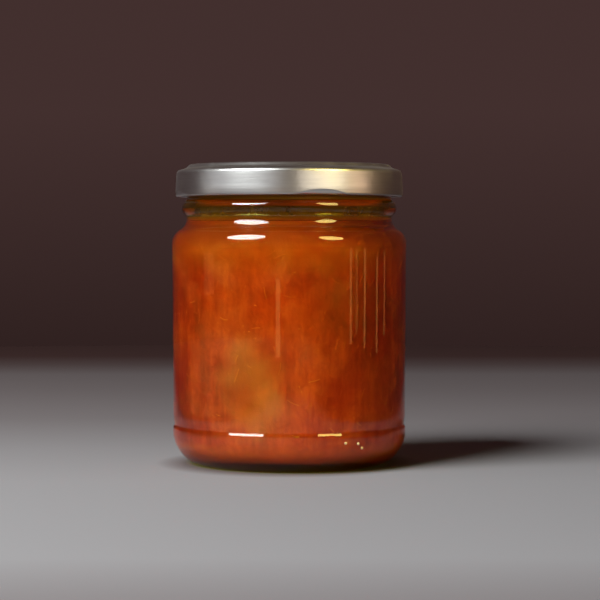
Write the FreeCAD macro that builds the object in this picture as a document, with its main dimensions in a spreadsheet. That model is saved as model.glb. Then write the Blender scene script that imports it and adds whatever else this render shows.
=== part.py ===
import FreeCAD, Part
import math
import os
import Sketcher

# A quarter-litre jar of apricot jam with a twist-off closure, in millimetres.
# +Z is up, the origin is the centre of the ring that the jar stands on, and the front is -Y.
# Four pieces: the glass jar, the jam that fills it, the drawn tinplate lid and the
# sealing ring that the lid presses on the rim.

DIMENSIONS = (
    # alias, value, what it is
    ("body_radius", 35.85, "outside radius of the body, just below the shoulder"),
    ("panel_radius", 35.5, "outside radius at the foot of the label panel"),
    ("groove_radius", 35.2, "outside radius at the bottom of the groove over the heel"),
    ("heel_radius", 35.6, "outside radius of the heel"),
    ("ring_outer", 28.4, "outer edge of the flat ring the jar stands on"),
    ("ring_inner", 26.0, "inner edge of the same ring"),
    ("punt_depth", 2.4, "how far the underside is pushed up at its centre"),
    ("heel_rise", 2.62, "height of the heel's corner before it is rounded"),
    ("heel_round", 10.0, "radius of the heel"),
    ("groove_low", 11.2, "height where the heel ends and the groove starts"),
    ("groove_mid", 12.0, "height of the groove's bottom"),
    ("groove_high", 14.4, "height where the label panel starts"),
    ("shoulder_corner", 69.95, "height of the shoulder's corner before it is rounded"),
    ("shoulder_round", 4.5, "outside radius of the shoulder"),
    ("neck_foot", 72.9, "height where the shoulder's slope meets the neck"),
    ("neck_blend", 1.8, "radius of that inside corner"),
    ("neck_radius", 31.35, "outside radius of the neck and of the wall under the lid"),
    ("bead_height", 78.05, "height of the middle of the neck's bead"),
    ("bead_half", 1.95, "half of the bead's height at its root"),
    ("bead_reach", 2.65, "how far the bead's corner stands out before it is rounded"),
    ("bead_round", 1.6, "radius of the bead's crest"),
    ("bead_blend", 0.9, "radius where the bead meets the neck"),
    ("rim_height", 89.9, "height of the sealing rim"),
    ("rim_round", 0.85, "radius of the rim's two edges"),
    ("wall", 2.5, "glass thickness at the body"),
    ("foot_wall", 2.3, "glass thickness above the heel"),
    ("bore_radius", 28.75, "inside radius of the neck"),
    ("floor_centre", 5.6, "height of the inside floor at its centre"),
    ("floor_edge", 3.6, "height of the inside floor's corner before it is rounded"),
    ("floor_round", 6.0, "inside radius of the heel"),
    ("cavity_shoulder", 68.6, "height of the inside shoulder's corner"),
    ("cavity_neck", 71.65, "height of the inside corner at the foot of the neck"),
    ("cavity_round", 4.0, "radius of both inside shoulder corners"),
    ("jam_level", 73.8, "height of the jam's surface"),
    ("jam_climb", 0.7, "how far the jam climbs the wall at its edge"),
    ("jam_edge", 2.2, "width of that climbing edge"),
    ("tin", 0.22, "thickness of the lid's sheet"),
    ("lid_radius", 34.4, "outside radius of the lid at the top of its skirt"),
    ("skirt_radius", 34.7, "outside radius of the lid at its curled hem"),
    ("lid_top", 91.25, "height of the lid's raised ring"),
    ("lid_panel", 90.4, "height of the lid's sunken centre panel"),
    ("lid_step", 90.2, "height where the raised ring meets the lid's shoulder"),
    ("lid_shoulder", 89.3, "height of the corner between shoulder and skirt"),
    ("crown_inner", 27.3, "radius of the raised ring's inner edge"),
    ("crown_outer", 30.5, "radius of the raised ring's outer edge"),
    ("crown_run", 1.0, "how far each flank of the raised ring spreads"),
    ("crown_round", 0.9, "radius of the raised ring's corners"),
    ("skirt_round", 1.2, "radius between the lid's shoulder and its skirt"),
    ("hem_height", 82.45, "height of the centre of the curled hem"),
    ("hem_round", 0.65, "outside radius of the hem's curl"),
    ("hem_sweep", 300.0, "how far the hem is rolled, in degrees"),
    ("lug_reach", 32.0, "radius that the lid's lugs reach inwards to"),
    ("lug_top", 84.3, "height where a lug runs out into the skirt"),
    ("lug_arc", 26.0, "angle that one lug takes of the lid, in degrees"),
    ("lug_turn", 16.4, "turn of the first lug from the front, in degrees"),
    ("lug_count", 4, "how many lugs the lid has"),
    ("dent_depth", 0.82, "how far the hem is pressed in at a lug"),
    ("dent_height", 1.9, "height of the pressed-in crescent above the hem"),
    ("seal_inner", 28.0, "inside radius of the sealing ring"),
    ("seal_outer", 31.2, "outside radius of the sealing ring"),
    ("seal_lip", 90.15, "height of the sealing ring's outer lip"),
)

doc = FreeCAD.newDocument("ApricotJam")


class Size:
    """A length as a number, for placing a sketch, and as the formula that drives it."""

    def __init__(self, number, formula):
        self.number = number
        self.formula = formula

    def __add__(self, other):
        other = as_size(other)
        return Size(self.number + other.number, f"({self.formula} + {other.formula})")

    def __sub__(self, other):
        other = as_size(other)
        return Size(self.number - other.number, f"({self.formula} - {other.formula})")

    def __mul__(self, factor):
        factor = as_size(factor)
        return Size(self.number * factor.number, f"({self.formula} * {factor.formula})")


def as_size(value):
    return value if isinstance(value, Size) else Size(float(value), str(value))


def make_sheet():
    """The spreadsheet of driving dimensions, one row each: name, value and meaning."""
    sheet = doc.addObject("Spreadsheet::Sheet", "sizes")
    for row, (alias, value, meaning) in enumerate(DIMENSIONS, start=1):
        sheet.set(f"A{row}", alias)
        sheet.set(f"B{row}", str(value))
        sheet.setAlias(f"B{row}", alias)
        sheet.set(f"C{row}", meaning)
    doc.recompute()
    return sheet


sheet = make_sheet()


def cell(alias):
    return Size(float(sheet.get(alias)), f"sizes.{alias}")


AXIS = Size(0.0, "0")


def new_body(name):
    body = doc.addObject("PartDesign::Body", name)
    body.Label = name
    body.Placement = FreeCAD.Placement()
    return body


def origin_feature(body, role):
    return next(f for f in body.Origin.OriginFeatures if f.Role == role)


def new_sketch(body, name, turn=None):
    """A sketch on the body's XZ plane, so that x is the radius and y is the height.

    With a turn, the sheet's angle of that name swings the sketch about the Z axis.
    """
    sketch = body.newObject("Sketcher::SketchObject", name)
    sketch.AttachmentSupport = [(origin_feature(body, "XZ_Plane"), "")]
    sketch.MapMode = "FlatFace"
    if turn:
        sketch.AttachmentOffset = FreeCAD.Placement(
            FreeCAD.Vector(), FreeCAD.Vector(0, 1, 0), turn.number)
        sketch.setExpression("AttachmentOffset.Rotation.Angle", turn.formula)
    return sketch


def round_corner(before, corner, after, radius):
    """The arc that rounds a corner, and which of its ends meets the run before."""
    into = (corner - before).normalize()
    out = (after - corner).normalize()
    turn = math.atan2(into.cross(out).z, into.dot(out))
    back_off = radius * math.tan(abs(turn) / 2)
    start = corner - into * back_off
    end = corner + out * back_off
    side = math.copysign(1, turn)
    centre = start + FreeCAD.Vector(-into.y, into.x, 0) * radius * side
    angle_start = math.atan2(start.y - centre.y, start.x - centre.x)
    angle_end = math.atan2(end.y - centre.y, end.x - centre.x)
    circle = Part.Circle(centre, FreeCAD.Vector(0, 0, 1), radius)
    if side > 0:
        return start, end, Part.ArcOfCircle(circle, angle_start, angle_end), 1
    return start, end, Part.ArcOfCircle(circle, angle_end, angle_start), 2


def draw_outline(sketch, corners):
    """A closed outline through named corners, each (name, radius, height, rounding).

    Every corner is placed by two dimensions bound to the sheet. A rounded corner keeps
    its place as a construction point, and its arc is tangent to both of its runs.
    """
    count = len(corners)
    points = [FreeCAD.Vector(c[1].number, c[2].number, 0) for c in corners]
    starts, ends, arcs = list(points), list(points), {}
    for i, corner in enumerate(corners):
        if corner[3] is not None:
            starts[i], ends[i], arc, first = round_corner(
                points[i - 1], points[i], points[(i + 1) % count], corner[3].number)
            arcs[i] = (arc, first)
    runs = [Part.LineSegment(ends[i], starts[(i + 1) % count]) for i in range(count)]
    sketch.addGeometry(runs, False)

    constraints, formulas = [], []

    def bind(constraint, name, size):
        constraints.append(constraint)
        formulas.append((len(constraints) - 1, name, size.formula))

    def place(geometry, point, name, radius, height):
        if radius is AXIS:
            constraints.append(Sketcher.Constraint("PointOnObject", geometry, point, -2))
        else:
            bind(Sketcher.Constraint("DistanceX", -1, 1, geometry, point, radius.number),
                 f"{name}_radius", radius)
        bind(Sketcher.Constraint("DistanceY", -1, 1, geometry, point, height.number),
             f"{name}_height", height)

    for i, (name, radius, height, rounding) in enumerate(corners):
        run_in, run_out = (i - 1) % count, i
        if i not in arcs:
            constraints.append(Sketcher.Constraint("Coincident", run_in, 2, run_out, 1))
            place(run_out, 1, name, radius, height)
            continue
        arc, first = arcs[i]
        arc_id = sketch.addGeometry(arc, False)
        point_id = sketch.addGeometry(Part.Point(points[i]), True)
        place(point_id, 1, name, radius, height)
        constraints.append(Sketcher.Constraint("PointOnObject", point_id, 1, run_in))
        constraints.append(Sketcher.Constraint("PointOnObject", point_id, 1, run_out))
        constraints.append(Sketcher.Constraint("Tangent", run_in, 2, arc_id, first))
        constraints.append(Sketcher.Constraint("Tangent", run_out, 1, arc_id, 3 - first))
        bind(Sketcher.Constraint("Radius", arc_id, rounding.number),
             f"{name}_rounding", rounding)
    bind_formulas(sketch, constraints, formulas)


def bind_formulas(sketch, constraints, formulas):
    first = sketch.ConstraintCount
    sketch.addConstraint(constraints)
    for index, name, formula in formulas:
        sketch.renameConstraint(first + index, name)
        sketch.setExpression(f"Constraints.{name}", formula)


def spin(body, sketch, name, kind="PartDesign::Revolution", arc=None):
    """Turn a sketch about the Z axis: all the way, or evenly to both sides of its plane."""
    feature = body.newObject(kind, name)
    feature.Profile = sketch
    feature.ReferenceAxis = (sketch, ["V_Axis"])
    feature.Angle = 360.0
    if arc:
        feature.Midplane = True
        feature.Angle = arc.number
        feature.setExpression("Angle", arc.formula)
    sketch.Visibility = False
    return feature


def cavity_corners():
    """The inside of the glass up to the foot of the neck: the jam has the same outline."""
    return [
        ("floor_centre", AXIS, cell("floor_centre"), None),
        ("floor_edge", cell("panel_radius") - cell("foot_wall"), cell("floor_edge"),
         cell("floor_round")),
        ("cavity_shoulder", cell("body_radius") - cell("wall"), cell("cavity_shoulder"),
         cell("cavity_round")),
        ("cavity_neck", cell("bore_radius"), cell("cavity_neck"), cell("cavity_round")),
    ]


def make_glass_jar():
    """The jar as it leaves the mould: outside form with its neck bead, then the hollow."""
    body = new_body("glass_jar")
    neck = cell("neck_radius")
    bead = cell("bead_height")
    outside = new_sketch(body, "outside_section")
    draw_outline(outside, [
        ("punt_centre", AXIS, cell("punt_depth"), None),
        ("punt_edge", cell("ring_inner") * 0.84, cell("punt_depth") * 0.8,
         cell("heel_round")),
        ("ring_inner", cell("ring_inner"), AXIS, cell("rim_round")),
        ("ring_outer", cell("ring_outer"), AXIS, cell("rim_round")),
        ("heel", cell("heel_radius"), cell("heel_rise"), cell("heel_round")),
        ("heel_top", cell("heel_radius"), cell("groove_low"), cell("bead_blend")),
        ("groove", cell("groove_radius"), cell("groove_mid"), cell("bead_blend")),
        ("panel_foot", cell("panel_radius"), cell("groove_high"), cell("heel_round")),
        ("shoulder", cell("body_radius"), cell("shoulder_corner"), cell("shoulder_round")),
        ("neck_foot", neck, cell("neck_foot"), cell("neck_blend")),
        ("bead_low", neck, bead - cell("bead_half"), cell("bead_blend")),
        ("bead_crest", neck + cell("bead_reach"), bead, cell("bead_round")),
        ("bead_high", neck, bead + cell("bead_half"), cell("bead_blend")),
        ("rim_outer", neck, cell("rim_height"), cell("rim_round")),
        ("rim_axis", AXIS, cell("rim_height"), None),
    ])
    spin(body, outside, "blown_form")

    hollow = new_sketch(body, "hollow_section")
    draw_outline(hollow, cavity_corners() + [
        ("mouth", cell("bore_radius"), cell("rim_height") - cell("rim_round"), None),
        ("mouth_flare", cell("bore_radius") + cell("rim_round"), cell("rim_height"), None),
        ("mouth_top", cell("bore_radius") + cell("rim_round"),
         cell("rim_height") + 1, None),
        ("mouth_axis", AXIS, cell("rim_height") + 1, None),
    ])
    spin(body, hollow, "hollow", "PartDesign::Groove")
    return body


def make_jam():
    """The set jam: the inside of the glass up to its level, climbing a little at the wall."""
    body = new_body("jam")
    section = new_sketch(body, "jam_section")
    level = cell("jam_level")
    bore = cell("bore_radius")
    draw_outline(section, cavity_corners() + [
        ("edge_top", bore, level + cell("jam_climb"), None),
        ("edge_foot", bore - cell("jam_edge"), level, cell("neck_blend")),
        ("surface_centre", AXIS, level - cell("jam_climb") * 0.5, None),
    ])
    spin(body, section, "filling")
    return body


def make_seal():
    """The sealing ring cast in the lid's channel, seated on the glass rim."""
    body = new_body("seal_ring")
    section = new_sketch(body, "seal_section")
    roof = cell("lid_top") - cell("tin")
    draw_outline(section, [
        ("seat_inner", cell("seal_inner"), cell("rim_height"), None),
        ("seat_outer", cell("seal_outer"), cell("rim_height"), None),
        ("lip", cell("seal_outer"), cell("seal_lip"), None),
        ("roof_outer", cell("crown_outer") - cell("crown_round"), roof, None),
        ("roof_inner", cell("seal_inner"), roof, None),
    ])
    spin(body, section, "cast_ring")
    return body


def draw_hem(sketch):
    """The rolled hem's metal: a ring of sheet, open where the roll ends inside the skirt."""
    outer, tin = cell("hem_round"), cell("tin")
    centre_radius = cell("skirt_radius") - outer
    centre = FreeCAD.Vector(centre_radius.number, cell("hem_height").number, 0)
    up = FreeCAD.Vector(0, 0, 1)
    first = math.radians(360 - cell("hem_sweep").number)
    last = math.radians(360)
    inner = outer - tin
    rolls = [Part.ArcOfCircle(Part.Circle(centre, up, r.number), first, last)
             for r in (outer, inner)]
    sketch.addGeometry(rolls, False)
    sketch.addGeometry([
        Part.LineSegment(rolls[0].StartPoint, rolls[1].StartPoint),
        Part.LineSegment(rolls[0].EndPoint, rolls[1].EndPoint),
    ], False)
    outer_arc, inner_arc, free_end, skirt_end = range(4)
    constraints = [
        Sketcher.Constraint("Coincident", outer_arc, 3, inner_arc, 3),
        Sketcher.Constraint("Coincident", outer_arc, 1, free_end, 1),
        Sketcher.Constraint("Coincident", inner_arc, 1, free_end, 2),
        Sketcher.Constraint("Coincident", outer_arc, 2, skirt_end, 1),
        Sketcher.Constraint("Coincident", inner_arc, 2, skirt_end, 2),
        Sketcher.Constraint("Horizontal", skirt_end),
        Sketcher.Constraint("PointOnObject", outer_arc, 3, skirt_end),
        Sketcher.Constraint("PointOnObject", outer_arc, 3, free_end),
        Sketcher.Constraint("DistanceX", -1, 1, outer_arc, 3, centre_radius.number),
        Sketcher.Constraint("DistanceY", -1, 1, outer_arc, 3, centre.y),
        Sketcher.Constraint("Radius", outer_arc, outer.number),
        Sketcher.Constraint("Radius", inner_arc, inner.number),
        Sketcher.Constraint("Angle", skirt_end, 2, free_end, 2, first),
    ]
    formulas = [
        (8, "curl_centre", centre_radius.formula),
        (9, "curl_height", cell("hem_height").formula),
        (10, "curl_outside", outer.formula),
        (11, "curl_inside", inner.formula),
    ]
    bind_formulas(sketch, constraints, formulas)


def make_lid():
    """The drawn lid: panel, raised ring and skirt, a rolled hem, and four lugs in the hem."""
    body = new_body("lid")
    run = cell("crown_run")
    hem = cell("hem_height")

    drawn = new_sketch(body, "drawn_section")
    draw_outline(drawn, [
        ("hem_axis", AXIS, hem, None),
        ("hem_edge", cell("skirt_radius"), hem, None),
        ("shoulder_edge", cell("lid_radius"), cell("lid_shoulder"), cell("skirt_round")),
        ("crown_foot", cell("crown_outer") + run, cell("lid_step"), cell("crown_round")),
        ("crown_outer", cell("crown_outer"), cell("lid_top"), cell("crown_round")),
        ("crown_inner", cell("crown_inner"), cell("lid_top"), cell("crown_round")),
        ("panel_edge", cell("crown_inner") - run, cell("lid_panel"), cell("crown_round")),
        ("panel_centre", AXIS, cell("lid_panel"), None),
    ])
    drawn_form = spin(body, drawn, "drawn_form")
    doc.recompute()

    open_face = next(f"Face{n}" for n, face in enumerate(drawn_form.Shape.Faces, start=1)
                     if abs(face.CenterOfMass.z - hem.number) < 0.001)
    sheet_metal = body.newObject("PartDesign::Thickness", "sheet_metal")
    sheet_metal.Base = (drawn_form, [open_face])
    sheet_metal.Reversed = True
    sheet_metal.Value = cell("tin").number
    sheet_metal.setExpression("Value", cell("tin").formula)
    doc.recompute()

    curl = new_sketch(body, "hem_section")
    draw_hem(curl)
    spin(body, curl, "rolled_hem")

    turn = cell("lug_turn")
    skirt_middle = cell("skirt_radius") - cell("tin") * 0.5
    reach = cell("lug_reach")
    hem_bottom = hem - cell("hem_round")
    lug_section = new_sketch(body, "lug_section", turn)
    draw_outline(lug_section, [
        ("foot_outer", skirt_middle, hem_bottom, None),
        ("run_out", skirt_middle, cell("lug_top"), None),
        ("nose_top", reach + cell("tin"), hem + cell("hem_round"), None),
        ("nose_foot", reach, hem - cell("hem_round") * 0.5, None),
        ("foot_inner", reach + cell("hem_round") * 0.5, hem_bottom, None),
    ])
    lug = spin(body, lug_section, "lug", arc=cell("lug_arc"))

    # The slanting flat pressed into the hem cuts the round skirt in a crescent.
    depth, height = cell("dent_depth"), cell("dent_height")
    dent_section = new_sketch(body, "dent_section", turn)
    draw_outline(dent_section, [
        ("dent_top", cell("skirt_radius") + depth, hem_bottom + height * 2, None),
        ("dent_foot", cell("skirt_radius") - depth * 2, hem_bottom - height, None),
        ("dent_far", cell("skirt_radius") + depth, hem_bottom - height, None),
    ])
    dent = body.newObject("PartDesign::Pocket", "dent")
    dent.Profile = dent_section
    dent.SideType = "Symmetric"
    dent.Length = cell("skirt_radius").number
    dent.setExpression("Length", cell("skirt_radius").formula)
    dent_section.Visibility = False

    lugs = body.newObject("PartDesign::PolarPattern", "lugs")
    lugs.Originals = [lug, dent]
    lugs.Axis = (origin_feature(body, "Z_Axis"), [""])
    lugs.Angle = 360.0
    lugs.Occurrences = int(cell("lug_count").number)
    lugs.setExpression("Occurrences", cell("lug_count").formula)
    body.Tip = lugs
    return body


def check(bodies):
    """Stop if any object failed, or if a sub-part isn't one valid solid."""
    for obj in doc.Objects:
        if "Invalid" in obj.State or "Error" in obj.State:
            raise RuntimeError(f"{obj.Name} failed: {obj.State}")
    for body in bodies:
        shape = body.Shape
        if shape.isNull() or not shape.isValid() or len(shape.Solids) != 1:
            raise RuntimeError(f"{body.Label} isn't one valid solid")


def main():
    bodies = [make_glass_jar(), make_jam(), make_seal(), make_lid()]
    doc.recompute()
    check(bodies)
    os.makedirs("parts", exist_ok=True)
    for body in bodies:
        body.Shape.exportStep(f"parts/{body.Label}.step")
        box = body.Shape.BoundBox
        print(f"{body.Label}: {body.Shape.Volume / 1000:.2f} cm3, radius {box.XMax:.2f}, "
              f"z {box.ZMin:.2f} to {box.ZMax:.2f}, {len(body.Shape.Faces)} faces")


main()
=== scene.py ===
# %% [markdown]
# # A jar of apricot jam
# A round clear jar, a plain silver twist-off lid, and apricot jam up to the foot of the neck.
# The measured model comes first, as a fixed frame. Everything here is a finish for it or a
# finer piece that stands in for one of its solids, in metres, in the same place.

# %% Load the measured model
import math
import random
import bmesh
import bpy
from mathutils import Matrix, Vector, noise


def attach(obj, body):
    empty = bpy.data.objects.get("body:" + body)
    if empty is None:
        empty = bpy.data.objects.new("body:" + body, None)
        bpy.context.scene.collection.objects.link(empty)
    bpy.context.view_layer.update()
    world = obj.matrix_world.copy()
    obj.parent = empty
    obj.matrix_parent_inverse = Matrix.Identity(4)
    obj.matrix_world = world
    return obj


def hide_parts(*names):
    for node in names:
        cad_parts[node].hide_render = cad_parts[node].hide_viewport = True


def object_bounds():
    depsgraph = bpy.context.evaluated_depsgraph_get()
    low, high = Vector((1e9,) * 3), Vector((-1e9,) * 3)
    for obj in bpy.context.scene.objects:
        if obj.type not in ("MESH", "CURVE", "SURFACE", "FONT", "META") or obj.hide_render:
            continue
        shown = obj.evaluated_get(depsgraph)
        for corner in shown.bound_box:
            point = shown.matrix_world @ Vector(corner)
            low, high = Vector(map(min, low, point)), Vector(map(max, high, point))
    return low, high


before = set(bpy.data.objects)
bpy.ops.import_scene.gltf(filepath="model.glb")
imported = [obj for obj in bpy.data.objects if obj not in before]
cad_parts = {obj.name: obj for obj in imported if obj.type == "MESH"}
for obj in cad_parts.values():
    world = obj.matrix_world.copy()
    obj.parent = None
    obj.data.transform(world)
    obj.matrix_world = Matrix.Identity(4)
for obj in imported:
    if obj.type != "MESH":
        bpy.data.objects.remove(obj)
cad_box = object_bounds()
low, high = (Vector(corner) for corner in cad_box)
jar_width = high.x - low.x
jar_height = high.z - low.z
print(f"jar {jar_width * 1000:.1f} mm wide and {jar_height * 1000:.1f} mm high")

# %% [markdown]
# ## The camera
# The jar is seen almost level, from a little under its shoulder, through a long lens. A long
# lens far away keeps the rings of the jar as shallow ellipses. The aim is a touch to the
# right of the jar's axis, which leaves the jar just left of the middle.

# %% Camera
EYE_DISTANCE = 8.82      # in jar widths
EYE_HEIGHT = 0.755       # in jar heights
AIM_HEIGHT = 0.547       # in jar heights
AIM_SIDE = 0.046         # in jar widths
LENS_MM = 123.7
SENSOR_MM = 36

eye = Vector((0, -EYE_DISTANCE * jar_width, EYE_HEIGHT * jar_height))
aim = Vector((AIM_SIDE * jar_width, 0, AIM_HEIGHT * jar_height))
camera_data = bpy.data.cameras.new("camera")
camera_data.lens = LENS_MM
camera_data.sensor_width = SENSOR_MM
camera = bpy.data.objects.new("camera", camera_data)
camera.location = eye
camera.rotation_euler = (aim - eye).to_track_quat("-Z", "Y").to_euler()
bpy.context.scene.collection.objects.link(camera)
bpy.context.scene.camera = camera
print("camera", [round(v, 4) for v in eye], "aims at", [round(v, 4) for v in aim])

# %% [markdown]
# ## Working in millimetres
# Jar makers write their drawings in millimetres, and so does this lesson. Sections are lists
# of corners, each with a radius, a height and how far it is rounded. The two helpers below
# turn such a section into a mesh: a vertex bevel rounds each corner of the wire, and a spin
# takes the wire round the jar's axis.

# %% Section helpers
MM = 0.001
DEGREES_A_STEP = 5      # an arc gets one step for each of these


def back_off(before, corner, after, rounding):
    """How far from its corner an arc of this radius starts."""
    into, out = corner - before, after - corner
    return rounding * math.tan(into.angle(out) / 2)


def wire_section(corners, closed, longest):
    """A wire in the XZ plane through the corners, rounded, with no run over the longest."""
    bm = bmesh.new()
    places = [Vector((radius, 0, height)) * MM for radius, height, _ in corners]
    verts = [bm.verts.new(place) for place in places]
    for first, second in zip(verts, verts[1:]):
        bm.edges.new((first, second))
    if closed:
        bm.edges.new((verts[-1], verts[0]))
    count = len(corners)
    for i, (_, _, rounding) in enumerate(corners):
        if rounding:
            before, after = places[i - 1], places[(i + 1) % count]
            reach = back_off(before, places[i], after, rounding * MM)
            turned = math.degrees((places[i] - before).angle(after - places[i]))
            steps = max(2, math.ceil(turned / DEGREES_A_STEP))
            bmesh.ops.bevel(bm, geom=[verts[i]], offset=reach, offset_type="OFFSET",
                            affect="VERTICES", segments=steps, profile=0.5, material=-1)
    for edge in list(bm.edges):
        cuts = math.ceil(edge.calc_length() / (longest * MM)) - 1
        if cuts > 0:
            bmesh.ops.subdivide_edges(bm, edges=[edge], cuts=cuts)
    return bm


def spin_section(bm, turns):
    """Take a wire once round the Z axis, then close its poles and face it outwards."""
    bmesh.ops.spin(bm, geom=bm.verts[:] + bm.edges[:], cent=(0, 0, 0), axis=(0, 0, 1),
                   angle=math.tau, steps=turns, use_merge=True, use_duplicate=False)
    bmesh.ops.remove_doubles(bm, verts=bm.verts[:], dist=0.00001)
    bmesh.ops.recalc_face_normals(bm, faces=bm.faces[:])
    return bm


def finish_piece(bm, name, material):
    """Turn a bmesh into an object at the origin that rides on the jar."""
    for face in bm.faces:
        face.smooth = True
    mesh = bpy.data.meshes.new(name)
    bm.to_mesh(mesh)
    bm.free()
    piece = bpy.data.objects.new(name, mesh)
    bpy.context.scene.collection.objects.link(piece)
    mesh.materials.append(material)
    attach(piece, "root")
    triangles = sum(len(face.vertices) - 2 for face in mesh.polygons)
    print(f"{name}: {len(mesh.vertices)} vertices, {triangles} triangles")
    return piece


def radius_of(point):
    return math.hypot(point.x, point.y)


def push_out(vert, distance):
    """Move a vertex away from the jar's axis."""
    away = Vector((vert.co.x, vert.co.y, 0))
    if away.length > 0:
        vert.co += away.normalized() * distance


# %% [markdown]
# ## Material helpers
# Each material is a node tree around one shader. These helpers only save typing: they make a
# material, add a node and set its plain sockets.

# %% Node helpers
def new_material(name):
    """A material with an empty tree and its output node."""
    material = bpy.data.materials.new(name)
    material.use_nodes = True
    tree = material.node_tree
    tree.nodes.clear()
    print("material", name)
    return material, tree, tree.nodes.new("ShaderNodeOutputMaterial")


def add_node(tree, kind, settings=None, **sockets):
    """Add a node. Sockets are named with _ for a space; a socket given as input is linked."""
    node = tree.nodes.new(kind)
    for key, value in (settings or {}).items():
        setattr(node, key, value)
    for key, value in sockets.items():
        socket = node.inputs[key.replace("_", " ")]
        if isinstance(value, bpy.types.NodeSocket):
            tree.links.new(value, socket)
        else:
            socket.default_value = value
    return node


def colour_ramp(tree, factor, stops):
    """A ramp through (position, colour) stops."""
    ramp = add_node(tree, "ShaderNodeValToRGB", Fac=factor)
    elements = ramp.color_ramp.elements
    while len(elements) < len(stops):
        elements.new(0.5)
    for element, (position, colour) in zip(elements, stops):
        element.position = position
        element.color = (*colour, 1)
    return ramp.outputs["Color"]


def value_range(tree, value, lowest, highest, start=0.0, end=1.0):
    """Stretch a value from one range to another, clamped."""
    node = add_node(tree, "ShaderNodeMapRange", Value=value, From_Min=start, From_Max=end,
                    To_Min=lowest, To_Max=highest)
    return node.outputs["Result"]


def object_space(tree, scale=(1, 1, 1)):
    """Object coordinates, stretched."""
    coordinates = add_node(tree, "ShaderNodeTexCoord")
    mapping = add_node(tree, "ShaderNodeMapping", Vector=coordinates.outputs["Object"])
    mapping.inputs["Scale"].default_value = scale
    return mapping.outputs["Vector"]


def noise_value(tree, vector, scale, detail=3.0, roughness=0.5, distortion=0.0):
    node = add_node(tree, "ShaderNodeTexNoise", Vector=vector, Scale=scale, Detail=detail,
                    Roughness=roughness, Distortion=distortion)
    return node.outputs["Fac"]


def mix_colour(tree, factor, first, second):
    node = add_node(tree, "ShaderNodeMix", {"data_type": "RGBA"})
    for socket, value in zip((node.inputs[0], node.inputs[6], node.inputs[7]),
                             (factor, first, second)):
        if isinstance(value, bpy.types.NodeSocket):
            tree.links.new(value, socket)
        else:
            socket.default_value = value
    return node.outputs[2]


def clear_in_shadow(tree, shader, tint, output):
    """Show this shader, but let shadow rays through with a tint."""
    clear = add_node(tree, "ShaderNodeBsdfTransparent", Color=(*tint, 1))
    path = add_node(tree, "ShaderNodeLightPath")
    mix = add_node(tree, "ShaderNodeMixShader", Fac=path.outputs["Is Shadow Ray"])
    tree.links.new(shader.outputs["BSDF"], mix.inputs[1])
    tree.links.new(clear.outputs["BSDF"], mix.inputs[2])
    tree.links.new(mix.outputs["Shader"], output.inputs["Surface"])


# %% [markdown]
# ## Handling marks
# Glass and lacquered tin both carry faint smudges from hands and the filling line. They share
# one node group, which gives out a roughness that varies between two named values.

# %% Smudge group
def make_smudge_group():
    """Roughness that rises in soft patches from the clean value to the smudged one."""
    group = bpy.data.node_groups.new("smudges", "ShaderNodeTree")
    for name, value in (("Clean", 0.02), ("Smudged", 0.1), ("Patch Size", 60.0)):
        socket = group.interface.new_socket(name, in_out="INPUT",
                                            socket_type="NodeSocketFloat")
        socket.default_value = value
    group.interface.new_socket("Roughness", in_out="OUTPUT", socket_type="NodeSocketFloat")
    inside = group.nodes.new("NodeGroupInput")
    outside = group.nodes.new("NodeGroupOutput")
    space = object_space(group)
    patches = add_node(group, "ShaderNodeTexNoise", Vector=space, Detail=4.0,
                       Roughness=0.6)
    group.links.new(inside.outputs["Patch Size"], patches.inputs["Scale"])
    spread = value_range(group, patches.outputs["Fac"], 0.0, 1.0, 0.48, 0.72)
    mix = add_node(group, "ShaderNodeMapRange", Value=spread)
    group.links.new(inside.outputs["Clean"], mix.inputs["To Min"])
    group.links.new(inside.outputs["Smudged"], mix.inputs["To Max"])
    group.links.new(mix.outputs["Result"], outside.inputs["Roughness"])
    return group


smudge_group = make_smudge_group()


def smudges(tree, clean, smudged, patch_size):
    node = add_node(tree, "ShaderNodeGroup", {"node_tree": smudge_group})
    node.inputs["Clean"].default_value = clean
    node.inputs["Smudged"].default_value = smudged
    node.inputs["Patch Size"].default_value = patch_size
    return node.outputs["Roughness"]


print("smudge group has", len(smudge_group.nodes), "nodes")

# %% [markdown]
# ## Clear glass
# Soda-lime glass bends light, mirrors a little of it, and is faintly green where a ray has a
# long way through it, as in the base. Plain absorption in its volume gives that green. Shadow
# rays go straight through, so the lamps reach the jam without a noisy search for caustics.
# Where jam wets the inside there is no mirror, because jam bends light nearly as glass does.
# The mesh carries that as a mask, "wet", and the wet part of the inner wall is left clear.

# %% Glass material
def make_glass_material():
    material, tree, output = new_material("clear_glass")
    ripple_space = object_space(tree, (1, 1, 0.35))
    ripple = noise_value(tree, ripple_space, 90.0, 2.0)
    bump = add_node(tree, "ShaderNodeBump", Height=ripple, Strength=0.05, Distance=0.0005)
    wet = add_node(tree, "ShaderNodeAttribute", {"attribute_name": "wet"})
    glass = add_node(tree, "ShaderNodeBsdfPrincipled", Base_Color=(1, 1, 1, 1), IOR=1.5,
                     Transmission_Weight=1.0, Normal=bump.outputs["Normal"],
                     Roughness=smudges(tree, 0.0, 0.03, 45.0),
                     Alpha=value_range(tree, wet.outputs["Fac"], 1.0, 0.0))
    clear_in_shadow(tree, glass, (0.97, 0.98, 0.96), output)
    green = add_node(tree, "ShaderNodeVolumeAbsorption", Color=(0.70, 0.73, 0.05, 1),
                     Density=320.0)
    tree.links.new(green.outputs["Volume"], output.inputs["Volume"])
    return material


glass_material = make_glass_material()

# %% [markdown]
# ## The glass jar
# The jar is blown in a mould, so its outside is a crisp drawing and its inside is softer. One
# closed section holds both: under the pushed-up base, round the heel, over the groove at the
# foot of the label panel, up to the shoulder, round the neck's bead to the sealing rim, and
# down again inside. Each corner has a radius, a height and a rounding, in millimetres.

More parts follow.
